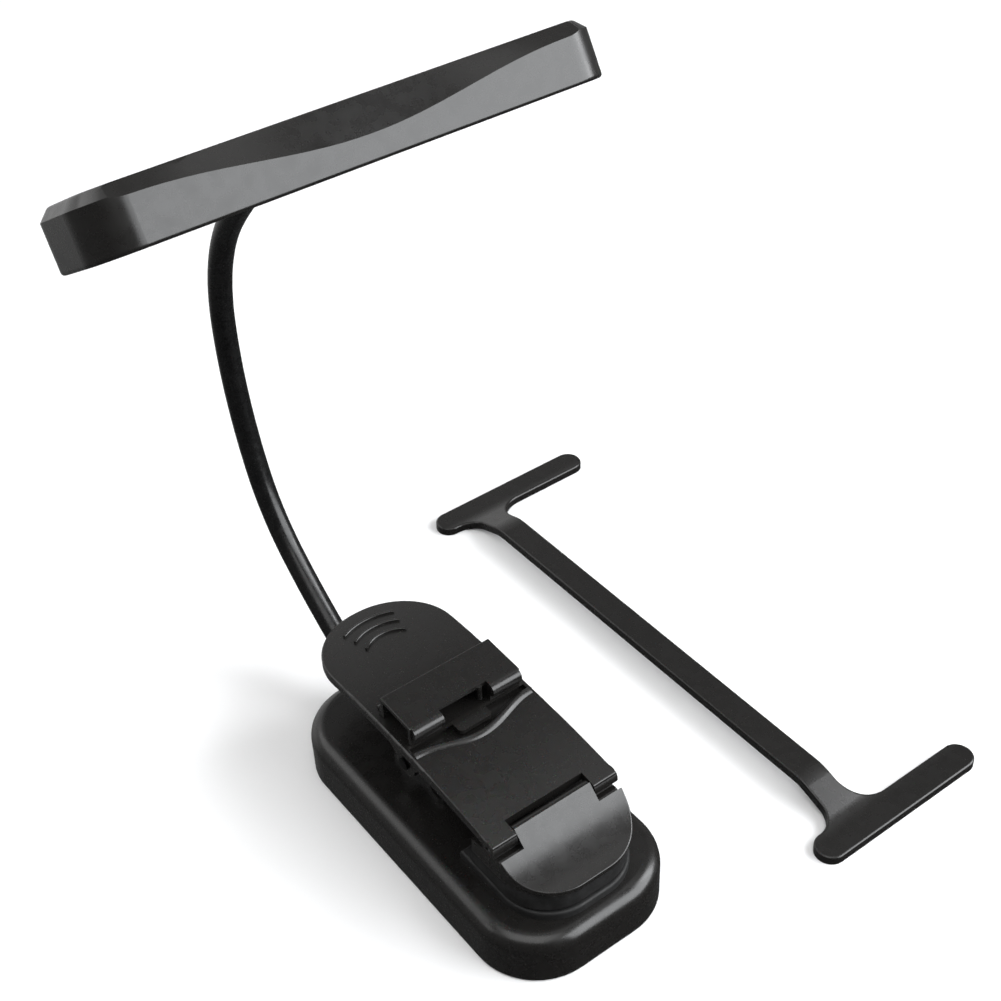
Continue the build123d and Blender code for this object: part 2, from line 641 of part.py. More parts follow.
def page_holder_bar():
    """Flat bar with two parallel prongs. Between them it rises like a low bridge."""
    half = HOLDER_SPAN / 2
    prong_y = half
    plan = Rectangle(BAR_W, HOLDER_SPAN)
    prong_x = (PRONG_OUT - PRONG_IN) / 2
    for side in (-1, 1):
        plan += Pos(prong_x, side * prong_y) * SlotOverall(PRONG_IN + PRONG_OUT, BAR_W)
    inner = [v for v in plan.vertices() if abs(abs(v.X) - BAR_W / 2) < 0.01 and abs(v.Y) < half]
    plan = fillet([v for v in inner if v.X < 0], 5.5)
    inner = [v for v in plan.vertices() if abs(v.X - BAR_W / 2) < 0.01 and abs(abs(v.Y) - half + BAR_W / 2) < 0.01]
    plan = fillet(inner, 9.0)
    foot, lift, mid = half - BAR_W / 2, half - BAR_W / 2 - 13.0, BAR_T / 2
    strip = FilletPolyline(
        (-half - 10, mid),
        (-foot, mid),
        (-lift, mid + BAR_RISE),
        (lift, mid + BAR_RISE),
        (foot, mid),
        (half + 10, mid),
        radius=14.0,
    )
    band = extrude(Plane.YZ * trace(strip, BAR_T), 60, both=True)
    bar = band & extrude(plan, 40)
    bar = fillet(top_rim(bar), BAR_RIM_R)
    return Pos(HOLDER_X, HOLDER_Y, 0) * bar


# ---------------------------------------------------------------- write every piece

os.makedirs("parts", exist_ok=True)

fixed_pieces = [
    base_top_shell,
    base_bottom_cover,
    base_screws,
    antislip_pad,
    main_board,
    usb_c_socket,
    tact_switches,
    charge_light_pipe,
    lower_jaw_pad,
    pivot_bracket,
    bracket_screws,
    hinge_pin,
    torsion_spring,
    neck_ferrule,
    press_lever,
    nose_pin,
    cover_pin,
    cover_catch,
    nose_flap,
    nose_pad,
    holder_cover,
    page_holder_bar,
]
for builder in fixed_pieces:
    save(builder(), builder.__name__)

save(block(-17, 17, -44, -6, COVER_TOP + 0.1, 9.4), "battery")
save(block(-16, 16, 30, 43, COVER_TOP + 0.1, 8.2), "ballast_plate")
for name, y in BUTTON_Y.items():
    save(button(y), name)

save_neck()
save_head()
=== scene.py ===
import json
from math import asin, ceil, cos, pi, radians, sin, sqrt

import bmesh
import bpy
from mathutils import Matrix, Vector


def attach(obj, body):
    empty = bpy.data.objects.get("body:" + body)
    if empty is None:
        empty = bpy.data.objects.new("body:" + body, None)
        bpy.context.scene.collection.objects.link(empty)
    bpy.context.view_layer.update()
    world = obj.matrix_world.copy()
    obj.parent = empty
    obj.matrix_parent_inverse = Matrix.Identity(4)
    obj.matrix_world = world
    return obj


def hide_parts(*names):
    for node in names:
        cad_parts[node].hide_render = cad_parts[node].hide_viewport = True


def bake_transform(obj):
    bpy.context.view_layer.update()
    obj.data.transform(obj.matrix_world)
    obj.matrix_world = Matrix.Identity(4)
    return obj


# Looks for a clip-on reading lamp and its page holder. Metres, in the CAD model's frame:
# +X along the light head, +Y to the gooseneck's side, +Z up, the table at Z = 0.

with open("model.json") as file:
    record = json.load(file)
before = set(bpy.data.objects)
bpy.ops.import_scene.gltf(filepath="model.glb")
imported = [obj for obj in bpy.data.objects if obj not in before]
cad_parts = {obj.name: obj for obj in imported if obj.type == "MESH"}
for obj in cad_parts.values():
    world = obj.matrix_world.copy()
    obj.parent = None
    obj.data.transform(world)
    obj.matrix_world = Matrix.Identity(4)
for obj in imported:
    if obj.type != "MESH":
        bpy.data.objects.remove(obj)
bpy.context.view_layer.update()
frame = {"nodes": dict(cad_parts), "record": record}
MM = 0.001

# Camera: a long lens, above and to the left of the jaw end
CAMERA_AT = Vector((-0.1510, -0.2269, 0.3262))
CAMERA_AZIMUTH, CAMERA_ELEVATION, CAMERA_ROLL = -35.5, 39.3, -2.6
CAMERA_LENS = 59.39

# Gooseneck: its line starts at the base's rear wall and runs through tangent arcs in the plane X = 0
NECK_RADIUS, CORE_RADIUS = 3.1 * MM, 1.9 * MM
NECK_START = (50.5 * MM, 8.64 * MM)
NECK_START_ANGLE = 27.8
NECK_ARCS = [(16.5, 141 * MM), (27, 53 * MM), (21.5, 120 * MM), (37.5, 60 * MM), (19.5, 147 * MM)]
NECK_JOINTS = [10 * MM, 48 * MM, 88 * MM, 128 * MM, 168 * MM]
NECK_LENGTHS = ["root", "lower", "middle_low", "middle_high", "upper", "top"]
NECK_LAYERS = [("neck_sleeve", NECK_RADIUS, "neck_silicone"), ("neck_core", CORE_RADIUS, "core_steel")]
NECK_FIRST, NECK_PAST_END = -3 * MM, 1.4 * MM
NECK_BEND_HALF, NECK_END_MARGIN = 15 * MM, 1 * MM
NECK_SIDES, NECK_STEP = 48, 0.8 * MM

# Torsion spring: a coil round the hinge pin with two straight legs
PIVOT = Vector((0, 10 * MM, 22 * MM))
SPRING_RADIUS, SPRING_WIRE = 3.2 * MM, 0.55 * MM
SPRING_PITCH, SPRING_TURNS = 1.35 * MM, 10.425
SPRING_LEG, SPRING_ANGLE = 18.5 * MM, 195.0
SPRING_SIDES, SPRING_STEPS_PER_TURN = 16, 40

# Press lever: its top is an arc across X = 0, and the finger grips are arcs round a point on it
ARCH_RADIUS, ARCH_Y, ARCH_Z = 340 * MM, 13 * MM, 35.2 * MM
GRIP_Y = 31.6 * MM
GRIPS = [(8.4 * MM, 5.9 * MM), (12.1 * MM, 6.7 * MM), (15.8 * MM, 7.5 * MM)]
GRIP_RISE, GRIP_BEAD = 0.30 * MM, 0.42 * MM
GRIP_STEPS, BEAD_SIDES = 24, 12
RIDGE_HALF, RIDGE_Y, RIDGE_BOW, RIDGE_STEPS = 17.2 * MM, 0.6 * MM, 3.9 * MM, 48
RIDGE_FRONT, RIDGE_REAR, RIDGE_RISE, RIDGE_ROOT = -1.6 * MM, 0.3 * MM, 0.42 * MM, -0.9 * MM

# Controls on the base's right wall
CONTROL_Z, BUTTON_FACE = 7 * MM, 25.8 * MM
POWER_Y, BRIGHTNESS_Y, USB_Y = 3 * MM, -11 * MM, 24 * MM
MARK_RADIUS, MARK_WIRE, MARK_STEPS, MARK_SIDES = 1.05 * MM, 0.11 * MM, 32, 10
CONTACTS, CONTACT_PITCH, CONTACT_RADIUS = 12, 0.5 * MM, 0.13 * MM
CONTACT_START, CONTACT_LENGTH, CONTACT_Z = 19.0 * MM, 4.2 * MM, 0.33 * MM

# Light head and its screws
HEAD_DEPTH, NECK_ENTRY = 32.8 * MM, 6.3 * MM
HEAD_SCREW_X, HEAD_SCREW_SEAT, HEAD_SHANK = 56.2 * MM, 1.05 * MM, 4.4 * MM
SCREW_PROFILE = [(1.3 * MM, 0), (1.3 * MM, 0.3 * MM), (1.2 * MM, 0.46 * MM), (0.95 * MM, 0.6 * MM)]
SCREW_SHANK, SCREW_SIDES = 0.6 * MM, 36
CROSS_ARM, CROSS_HALF, CROSS_DEPTH = 0.75 * MM, 0.15 * MM, 0.4 * MM

# Studio: where the lights aim, the floor's half side, and what the view shows behind it
LIGHT_AIM = Vector((0, 0.01, 0.08))
FLOOR_HALF, FLOOR_DROP = 1.0, 0.1 * MM
FLOOR_COLOUR, BACKDROP_COLOUR = (0.94, 0.94, 0.94, 1), (0.86, 0.87, 0.88, 1)


# ---------------------------------------------------------------- camera, floor and lights

def direction(azimuth, elevation):
    """Unit vector from the object towards a place seen at that azimuth and elevation."""
    a, e = radians(azimuth), radians(elevation)
    return Vector((sin(a) * cos(e), -cos(a) * cos(e), sin(e)))


def make_camera():
    data = bpy.data.cameras.new("camera")
    camera = bpy.data.objects.new("camera", data)
    bpy.context.scene.collection.objects.link(camera)
    back = direction(CAMERA_AZIMUTH, CAMERA_ELEVATION)
    level_right = Vector((cos(radians(CAMERA_AZIMUTH)), sin(radians(CAMERA_AZIMUTH)), 0))
    level_up = back.cross(level_right)
    roll = radians(CAMERA_ROLL)
    right = level_right * cos(roll) + level_up * sin(roll)
    up = level_up * cos(roll) - level_right * sin(roll)
    turn = Matrix((right, up, back)).transposed().to_4x4()
    camera.matrix_world = Matrix.Translation(CAMERA_AT) @ turn
    data.sensor_width = 36
    data.lens = CAMERA_LENS
    data.clip_start = 0.01
    data.clip_end = 20
    bpy.context.scene.camera = camera


def area_light(name, azimuth, elevation, distance, size, radiance, colour=(1, 1, 1)):
    """A rectangular softbox that faces the lamp. Radiance times pi times area is its power."""
    data = bpy.data.lights.new(name, "AREA")
    data.shape = "RECTANGLE"
    data.size, data.size_y = size
    data.energy = radiance * pi * size[0] * size[1]
    data.color = colour
    light = bpy.data.objects.new(name, data)
    bpy.context.scene.collection.objects.link(light)
    towards = direction(azimuth, elevation)
    light.location = LIGHT_AIM + towards * distance
    light.rotation_euler = towards.to_track_quat("Z", "Y").to_euler()


def make_world():
    """What the lamp mirrors is grey studio air, dark in front. The view shows a plain pale backdrop."""
    world = bpy.data.worlds.new("studio")
    bpy.context.scene.world = world
    world.use_nodes = True
    nodes, links = world.node_tree.nodes, world.node_tree.links
    coordinates = nodes.new("ShaderNodeTexCoord")
    split = nodes.new("ShaderNodeSeparateXYZ")
    links.new(coordinates.outputs["Generated"], split.inputs[0])
    depth = nodes.new("ShaderNodeMapRange")
    depth.inputs["From Min"].default_value = -1
    links.new(split.outputs["Y"], depth.inputs["Value"])
    wall = nodes.new("ShaderNodeValToRGB")
    stops = wall.color_ramp.elements
    stops[0].position, stops[0].color = 0.2, (0.06, 0.06, 0.06, 1)
    stops[1].position, stops[1].color = 0.97, (0.9, 0.9, 0.9, 1)
    middle = stops.new(0.80)
    middle.color = (0.24, 0.24, 0.24, 1)
    links.new(depth.outputs[0], wall.inputs[0])
    floor_shade = nodes.new("ShaderNodeMapRange")
    floor_shade.inputs["From Min"].default_value = -0.5
    floor_shade.inputs["From Max"].default_value = 0.0
    floor_shade.inputs["To Min"].default_value = 0.35
    links.new(split.outputs["Z"], floor_shade.inputs["Value"])
    air = nodes["Background"]
    links.new(wall.outputs[0], air.inputs["Color"])
    links.new(floor_shade.outputs[0], air.inputs["Strength"])
    backdrop = nodes.new("ShaderNodeBackground")
    backdrop.inputs["Color"].default_value = BACKDROP_COLOUR
    path = nodes.new("ShaderNodeLightPath")
    choose = nodes.new("ShaderNodeMixShader")
    links.new(path.outputs["Is Camera Ray"], choose.inputs[0])
    links.new(air.outputs[0], choose.inputs[1])
    links.new(backdrop.outputs[0], choose.inputs[2])
    links.new(choose.outputs[0], nodes["World Output"].inputs["Surface"])


def make_studio():
    area_light("key_softbox", 40, 27, 1.3, (1.3, 1.05), 6.7, (0.96, 0.98, 1))
    area_light("right_strip", 70, 30, 1.2, (0.25, 1.0), 6.8, (0.97, 0.98, 1))
    area_light("left_fill", -115, 30, 1.6, (0.6, 0.6), 1.6)
    area_light("rear_softbox", -150, 40, 1.6, (1.0, 0.8), 1.6)
    area_light("overhead", -52, 64, 1.7, (1.6, 1.4), 2.3)
    area_light("rear_right_top", 112, 68, 1.6, (0.7, 0.7), 0.9)
    make_world()
    bpy.context.scene.view_settings.view_transform = "Standard"


def make_floor():
    mesh = bpy.data.meshes.new("floor")
    sides = ((-1, -1), (1, -1), (1, 1), (-1, 1))
    corners = [(x * FLOOR_HALF, y * FLOOR_HALF, 0) for x, y in sides]
    mesh.from_pydata(corners, [], [(0, 1, 2, 3)])
    floor = bpy.data.objects.new("floor", mesh)
    bpy.context.scene.collection.objects.link(floor)
    material = bpy.data.materials.new("floor_white")
    material.use_nodes = True
    shader = material.node_tree.nodes["Principled BSDF"]
    shader.inputs["Base Color"].default_value = FLOOR_COLOUR
    shader.inputs["Roughness"].default_value = 0.9
    shader.inputs["Specular IOR Level"].default_value = 0.0
    mesh.materials.append(material)
    floor.location.z = -FLOOR_DROP
    floor.visible_glossy = False


# ---------------------------------------------------------------- materials

class Look:
    """One procedural material: a Principled shader and the nodes that feed it."""

    def __init__(self, name, roughness, metallic=0.0, specular=0.5):
        self.material = bpy.data.materials.new(name)
        self.material.use_nodes = True
        self.nodes = self.material.node_tree.nodes
        self.links = self.material.node_tree.links
        self.shader = self.nodes["Principled BSDF"]
        self.shader.inputs["Roughness"].default_value = roughness
        self.shader.inputs["Metallic"].default_value = metallic
        self.shader.inputs["Specular IOR Level"].default_value = specular
        self.coordinates = self.nodes.new("ShaderNodeTexCoord").outputs["Object"]
        self.height = None

    def stretched(self, scale):
        mapping = self.nodes.new("ShaderNodeMapping")
        mapping.inputs["Scale"].default_value = scale
        self.links.new(self.coordinates, mapping.inputs["Vector"])
        return mapping.outputs["Vector"]

    def noise(self, size, detail, vector=None):
        """Cloudy noise whose blotches are about that size in metres."""
        node = self.nodes.new("ShaderNodeTexNoise")
        node.inputs["Scale"].default_value = 1 / size
        node.inputs["Detail"].default_value = detail
        self.links.new(vector or self.coordinates, node.inputs["Vector"])
        return node.outputs["Fac"]

    def spread(self, value, low, high, start=0.3, end=0.7):
        node = self.nodes.new("ShaderNodeMapRange")
        node.inputs["From Min"].default_value = start
        node.inputs["From Max"].default_value = end
        node.inputs["To Min"].default_value = low
        node.inputs["To Max"].default_value = high
        self.links.new(value, node.inputs["Value"])
        return node.outputs[0]

    def mix(self, factor, first, second):
        """Blends two colours, each a colour triple or a node's output."""
        node = self.nodes.new("ShaderNodeMix")
        node.data_type = "RGBA"
        self.links.new(factor, node.inputs[0])
        for socket, colour in ((node.inputs[6], first), (node.inputs[7], second)):
            if isinstance(colour, tuple):
                socket.default_value = (*colour, 1)
            else:
                self.links.new(colour, socket)
        return node.outputs[2]

    def edges(self, radius):
        """One along outer edges, zero on open faces."""
        bevel = self.nodes.new("ShaderNodeBevel")
        bevel.samples = 4
        bevel.inputs["Radius"].default_value = radius
        plain = self.nodes.new("ShaderNodeNewGeometry")
        dot = self.nodes.new("ShaderNodeVectorMath")
        dot.operation = "DOT_PRODUCT"
        self.links.new(bevel.outputs["Normal"], dot.inputs[0])
        self.links.new(plain.outputs["Normal"], dot.inputs[1])
        return self.spread(dot.outputs["Value"], 1.0, 0.0, 0.86, 0.99)

    def colour(self, value):
        if isinstance(value, tuple):
            self.shader.inputs["Base Color"].default_value = (*value, 1)
        else:
            self.links.new(value, self.shader.inputs["Base Color"])

    def roughness(self, value):
        self.links.new(value, self.shader.inputs["Roughness"])

    def relief(self, value, depth):
        """Adds a bump of that depth in metres on top of the ones before it."""
        bump = self.nodes.new("ShaderNodeBump")
        bump.inputs["Strength"].default_value = 1.0
        bump.inputs["Distance"].default_value = depth
        self.links.new(value, bump.inputs["Height"])
        if self.height is not None:
            self.links.new(self.height, bump.inputs["Normal"])
        self.height = bump.outputs["Normal"]
        self.links.new(self.height, self.shader.inputs["Normal"])


def moulded_black(name, dark, light, roughness, edge_wear_and_highlight=0.35):
    """Injection-moulded ABS: a fine spark texture, faint flow marks, and outer edges lightened in
    colour, partly handling wear and partly a painted rim highlight.
    """
    look = Look(name, roughness)
    flow = look.noise(14 * MM, 4.0)
    body = look.mix(look.spread(flow, 0.0, 1.0), dark, light)
    edge = look.edges(0.35 * MM)
    # Painted rim highlight: the base colour is lightened along outer edges, standing in for the thin
    # bright rims that light gives as well as for handling wear.
    worn_rim_highlight = tuple(min(1.0, channel * 2.6) for channel in light)
    rim_highlight_amount = look.spread(edge, 0.0, edge_wear_and_highlight, 0.0, 1.0)
    look.colour(look.mix(rim_highlight_amount, body, worn_rim_highlight))
    look.roughness(look.spread(look.noise(3 * MM, 5.0), roughness - 0.03, roughness + 0.04))
    look.relief(look.noise(0.25 * MM, 2.0), 0.002 * MM)
    return look.material


def soft_rubber(name, dark, light, roughness, grain, depth):
    """Matt rubber between two greys: mottled, dusty in its pores, finely pebbled."""
    look = Look(name, roughness, specular=0.4)
    dust = look.spread(look.noise(4 * MM, 6.0), 0.0, 1.0, 0.42, 0.7)
    look.colour(look.mix(dust, grey(dark), grey(light)))
    look.roughness(look.spread(look.noise(1.6 * MM, 3.0), roughness - 0.06, roughness + 0.08))
    look.relief(look.noise(grain, 3.0), depth)
    return look.material


def brushed_metal(name, dark, contrast, roughness, stretch, depth=0.002 * MM):
    """Drawn or turned metal: fine scratches along one axis, the darkest at that share of the palest."""
    look = Look(name, roughness, metallic=1.0)
    light = tuple(channel / contrast for channel in dark)
    lines = look.noise(0.25 * MM, 4.0, look.stretched(stretch))
    look.colour(look.mix(look.spread(lines, 0.0, 1.0), dark, light))
    look.roughness(look.spread(look.noise(2.5 * MM, 4.0), roughness - 0.06, roughness + 0.10))
    look.relief(lines, depth)
    return look.material


def circuit_mask(name, mask, copper, pitch):
    """Solder mask with tracks that show through it as slightly raised lines."""
    look = Look(name, 0.35)
    brick = look.nodes.new("ShaderNodeTexBrick")
    brick.inputs["Scale"].default_value = 1 / pitch
    brick.inputs["Mortar Size"].default_value = 0.08
    brick.inputs["Color1"].default_value = (0, 0, 0, 1)
    brick.inputs["Color2"].default_value = (0, 0, 0, 1)
    brick.inputs["Mortar"].default_value = (1, 1, 1, 1)
    look.links.new(look.coordinates, brick.inputs["Vector"])
    blotch = look.spread(look.noise(6 * MM, 3.0), 0.0, 1.0, 0.45, 0.55)
    both = look.nodes.new("ShaderNodeMath")
    both.operation = "MULTIPLY"
    look.links.new(brick.outputs["Color"], both.inputs[0])
    look.links.new(blotch, both.inputs[1])
    look.colour(look.mix(both.outputs[0], mask, copper))
    look.relief(both.outputs[0], 0.03 * MM)
    return look.material


def pale_plastic(name, light, contrast, roughness, subsurface=0.0):
    """White or clear moulded plastic, a little uneven, with light carried under its surface."""
    look = Look(name, roughness)
    dark = tuple(channel * contrast for channel in light)
    look.colour(look.mix(look.spread(look.noise(8 * MM, 3.0), 0.0, 1.0), dark, light))
    look.roughness(look.spread(look.noise(2 * MM, 4.0), roughness - 0.05, roughness + 0.07))
    look.relief(look.noise(0.3 * MM, 2.0), 0.004 * MM)
    look.shader.inputs["Subsurface Weight"].default_value = subsurface
    look.shader.inputs["Subsurface Scale"].default_value = 1.5 * MM
    return look.material


def crinkled_foil(name, colour, roughness):
    """Aluminium-laminate pouch with soft wrinkles."""
    look = Look(name, roughness, metallic=0.9)
    dark = tuple(channel * 0.8 for channel in colour)
    look.colour(look.mix(look.spread(look.noise(5 * MM, 3.0), 0.0, 1.0), dark, colour))
    look.relief(look.noise(4 * MM, 5.0), 0.25 * MM)
    return look.material


def grey(value):
    return (value, value, value)


def make_looks():
    """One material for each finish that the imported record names."""
    black = (0.0080, 0.0075, 0.0070)
    return {
        "black_housing": moulded_black("satin_black_abs", black, (0.0090, 0.0084, 0.0078), 0.27),
        "black_key": moulded_black("key_black_abs", grey(0.010), grey(0.013), 0.22, 0.8),
        "switch_black": moulded_black("switch_black", grey(0.02), grey(0.03), 0.4),
        "black_silicone": soft_rubber("jaw_rubber", 0.006, 0.012, 0.6, 0.3 * MM, 0.02 * MM),
        "neck_silicone": soft_rubber("neck_silicone", 0.004, 0.006, 0.26, 0.5 * MM, 0.003 * MM),
        "core_steel": brushed_metal("core_steel", (0.25, 0.25, 0.26), 0.6, 0.35, (1, 1, 6)),
        "black_metal": brushed_metal("black_anodised", grey(0.012), 0.5, 0.35, (1, 6, 1)),
        "steel": brushed_metal("zinc_plated_steel", (0.40, 0.41, 0.42), 0.68, 0.28, (1, 1, 8)),
        "spring_steel": brushed_metal("spring_wire", (0.30, 0.30, 0.31), 0.62, 0.25, (0.3, 1, 1)),
        "zinc_plate": brushed_metal(
            "ballast_steel", (0.24, 0.24, 0.25), 0.67, 0.5, (8, 1, 1), 0.01 * MM
        ),
        "connector_steel": brushed_metal("nickel_shell", (0.50, 0.50, 0.49), 0.74, 0.2, (0.5, 3, 3)),
        "circuit_board": circuit_mask(
            "green_board", (0.010, 0.085, 0.030), (0.05, 0.20, 0.08), 2.4 * MM
        ),
        "led_board_white": circuit_mask(
            "white_board", (0.80, 0.80, 0.78), (0.62, 0.58, 0.45), 5.0 * MM
        ),
        "battery_wrap": crinkled_foil("battery_pouch", (0.55, 0.57, 0.60), 0.3),
        "clear_pipe": pale_plastic("light_pipe", (0.80, 0.84, 0.88), 0.88, 0.2, 0.5),
        "opal_diffuser": pale_plastic("opal_acrylic", (0.90, 0.89, 0.86), 0.93, 0.3, 0.4),
        "white_reflector": pale_plastic("white_reflector", (0.92, 0.92, 0.91), 0.93, 0.25),
        "led_phosphor": pale_plastic("led_phosphor", (0.93, 0.78, 0.35), 0.85, 0.35, 0.3),
    }


def dress(piece, slot):
    """Gives a new piece the look and the record's finish of one slot."""
    piece.data.materials.clear()
    piece.data.materials.append(LOOKS[slot])


def dress_cad_nodes():
    for subpart in frame["record"]["subparts"]:
        node = frame["nodes"][subpart["node"]]
        for place in node.material_slots:
            place.material = LOOKS[subpart["material_slot"]]


# ---------------------------------------------------------------- gooseneck

def neck_length():
    return sum(radians(turn) * radius for turn, radius in NECK_ARCS)


def neck_at(distance):
    """Point and heading on the gooseneck's line, at a length along it."""
    y, z = NECK_START
    angle = radians(NECK_START_ANGLE)
    left = distance
    for turn, radius in NECK_ARCS:
        step = max(0.0, min(left, radians(turn) * radius)) / radius
        y += radius * (sin(angle + step) - sin(angle))
        z -= radius * (cos(angle + step) - cos(angle))
        angle += step
        left -= step * radius
        if left <= 0:
            break
    y += left * cos(angle)
    z += left * sin(angle)
    return Vector((0, y, z)), Vector((0, cos(angle), sin(angle)))


def add_wall(mesh, low, high):
    """Faces between two closed rings of the same number of corners."""
    for step in range(len(low)):
        after = (step + 1) % len(low)
        mesh.faces.new((low[step], low[after], high[after], high[step]))


def add_sweep(mesh, line, section, side):
    """Sweeps a closed section along points with headings, and returns its two end faces."""
    rings = []
    for point, heading in line:
        side = (side - heading * side.dot(heading)).normalized()
        other = heading.cross(side)
        rings.append([mesh.verts.new(point + x * side + y * other) for x, y in section])
    for low, high in zip(rings, rings[1:]):
        add_wall(mesh, low, high)
    return [mesh.faces.new(reversed(rings[0])), mesh.faces.new(rings[-1])]


def circle(radius, sides):
    turns = [2 * pi * step / sides for step in range(sides)]
    return [(radius * cos(turn), radius * sin(turn)) for turn in turns]


def add_tube(mesh, line, radius, sides):
    return add_sweep(mesh, line, circle(radius, sides), line[0][1].orthogonal())


def tubes(name, lines, radius, sides):
    """One piece made of a tube along each line."""
    mesh = bmesh.new()
    ends = []
    for line in lines:
        ends += add_tube(mesh, line, radius, sides)
    return mesh_object(name, mesh, ends)


def mesh_object(name, mesh, flat_faces):
    """Makes the piece smooth, apart from the faces that stay flat and their edges."""
    for face in mesh.faces:
        face.smooth = True
    for face in flat_faces:
        face.smooth = False
        for edge in face.edges:
            edge.smooth = False
    data = bpy.data.meshes.new(name)
    mesh.to_mesh(data)
    mesh.free()
    piece = bpy.data.objects.new(name, data)
    bpy.context.scene.collection.objects.link(piece)
    return piece


def make_neck():
    """Five lengths of sleeve and core. Each is a tube along the gooseneck's line that runs across one
    joint.
    """
    middles = [(before + after) / 2 for before, after in zip(NECK_JOINTS, NECK_JOINTS[1:])]
    starts = [NECK_FIRST] + middles
    ends = middles + [neck_length() + NECK_PAST_END]
    for index, (start, end, joint) in enumerate(zip(starts, ends, NECK_JOINTS)):
        count = ceil((end - start) / NECK_STEP)
        line = [neck_at(start + (end - start) * step / count) for step in range(count + 1)]
        reach = min(NECK_BEND_HALF, joint - NECK_END_MARGIN)
        before, after = neck_at(joint - reach)[0], neck_at(joint + reach)[0]
        for layer, radius, slot in NECK_LAYERS:
            piece = tubes(f"{layer}_{NECK_LENGTHS[index]}_bend", [line], radius, NECK_SIDES)
            dress(piece, slot)
            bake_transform(piece)
            replaced = [f"{layer}_{NECK_LENGTHS[index]}"]
            if index == len(NECK_JOINTS) - 1:
                replaced.append(f"{layer}_{NECK_LENGTHS[-1]}")
            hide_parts(*replaced)


# ---------------------------------------------------------------- spring

def make_spring():
    """A coil round the hinge pin with two straight legs: one towards the base, the other towards the
    lever.
    """
    length = SPRING_PITCH * SPRING_TURNS
    place = (
        Matrix.Translation(PIVOT - Vector((length / 2, 0, 0)))
        @ Matrix.Rotation(radians(SPRING_ANGLE), 4, "X")
        @ Matrix.Rotation(radians(90), 4, "Y")
    )
    steps = ceil(SPRING_TURNS * SPRING_STEPS_PER_TURN)
    points = []
    for step in range(steps + 1):
        turn = 2 * pi * SPRING_TURNS * step / steps
        rise = length * step / steps
        points.append(Vector((SPRING_RADIUS * cos(turn), SPRING_RADIUS * sin(turn), rise)))
    first = (points[1] - points[0]).normalized()
    last = (points[-1] - points[-2]).normalized()
    points.insert(0, points[0] - first * SPRING_LEG)
    points.append(points[-1] + last * SPRING_LEG)
    points = [place @ point for point in points]
    line = []
    for index, point in enumerate(points):
        before = points[max(index - 1, 0)]
        after = points[min(index + 1, len(points) - 1)]
        line.append((point, (after - before).normalized()))
    piece = tubes("torsion_spring_wire", [line], SPRING_WIRE, SPRING_SIDES)
    dress(piece, "spring_steel")
    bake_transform(piece)
    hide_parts("torsion_spring")


# ---------------------------------------------------------------- finger grips and pocket ridge

def lever_top(y):
    return ARCH_Z - ARCH_RADIUS + sqrt(ARCH_RADIUS ** 2 - (y - ARCH_Y) ** 2)


def make_grips():
    """Three rounded beads that crown the grip ridges, with ends that run out into the plate."""
    for index, (radius, half) in enumerate(GRIPS):
        reach = asin(half / radius)
        line = []
        for step in range(GRIP_STEPS + 1):
            turn = reach * (2 * step / GRIP_STEPS - 1)
            x, y = radius * sin(turn), GRIP_Y + radius * cos(turn)
            line.append((Vector((x, y, lever_top(y) + GRIP_RISE)), Vector((cos(turn), -sin(turn), 0))))
        piece = tubes(f"finger_grip_{index + 1}", [line], GRIP_BEAD, BEAD_SIDES)
        dress(piece, "black_housing")
        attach(piece, "lever")


def make_ridge():
    """A low rounded ridge that bows across the lever in front of the pocket, draped on the plate."""
    line = []
    for step in range(RIDGE_STEPS + 1):
        x = RIDGE_HALF * (2 * step / RIDGE_STEPS - 1)
        phase = pi * x / (2 * RIDGE_HALF)
        y = RIDGE_Y - RIDGE_BOW * cos(phase) ** 2
        slope = RIDGE_BOW * sin(2 * phase) * pi / (2 * RIDGE_HALF)
        line.append((Vector((x, y, 0)), Vector((1, slope, 0)).normalized()))
    section = [
        (RIDGE_FRONT, RIDGE_ROOT),
        (RIDGE_REAR, RIDGE_ROOT),
        (RIDGE_REAR, 0.75 * RIDGE_RISE),
        (0.3 * RIDGE_REAR, RIDGE_RISE),
        (-0.5 * RIDGE_REAR, RIDGE_RISE),
        (RIDGE_FRONT, 0),
    ]
    mesh = bmesh.new()
    ends = add_sweep(mesh, line, section, Vector((0, 1, 0)))
    for vertex in mesh.verts:
        vertex.co.z += lever_top(vertex.co.y)
    ridge = mesh_object("pocket_ridge", mesh, ends)
    dress(ridge, "black_housing")
    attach(ridge, "lever")


# ---------------------------------------------------------------- key marks and socket contacts

def wall_arc(x, y, z, radius, start, end):
    """Line round part of a circle that faces +X. Angles are in degrees from the top."""
    line = []
    for step in range(MARK_STEPS + 1):
        turn = radians(start + (end - start) * step / MARK_STEPS)
        place = Vector((x, y + radius * sin(turn), z + radius * cos(turn)))
        line.append((place, Vector((0, cos(turn), -sin(turn)))))
    return line


def wall_stroke(x, y, z, turn, near, far):
    """A straight stroke on the wall, outwards from a point at that angle."""
    heading = Vector((0, sin(radians(turn)), cos(radians(turn))))
    middle = Vector((x, y, z))
    return [(middle + heading * near, heading), (middle + heading * far, heading)]


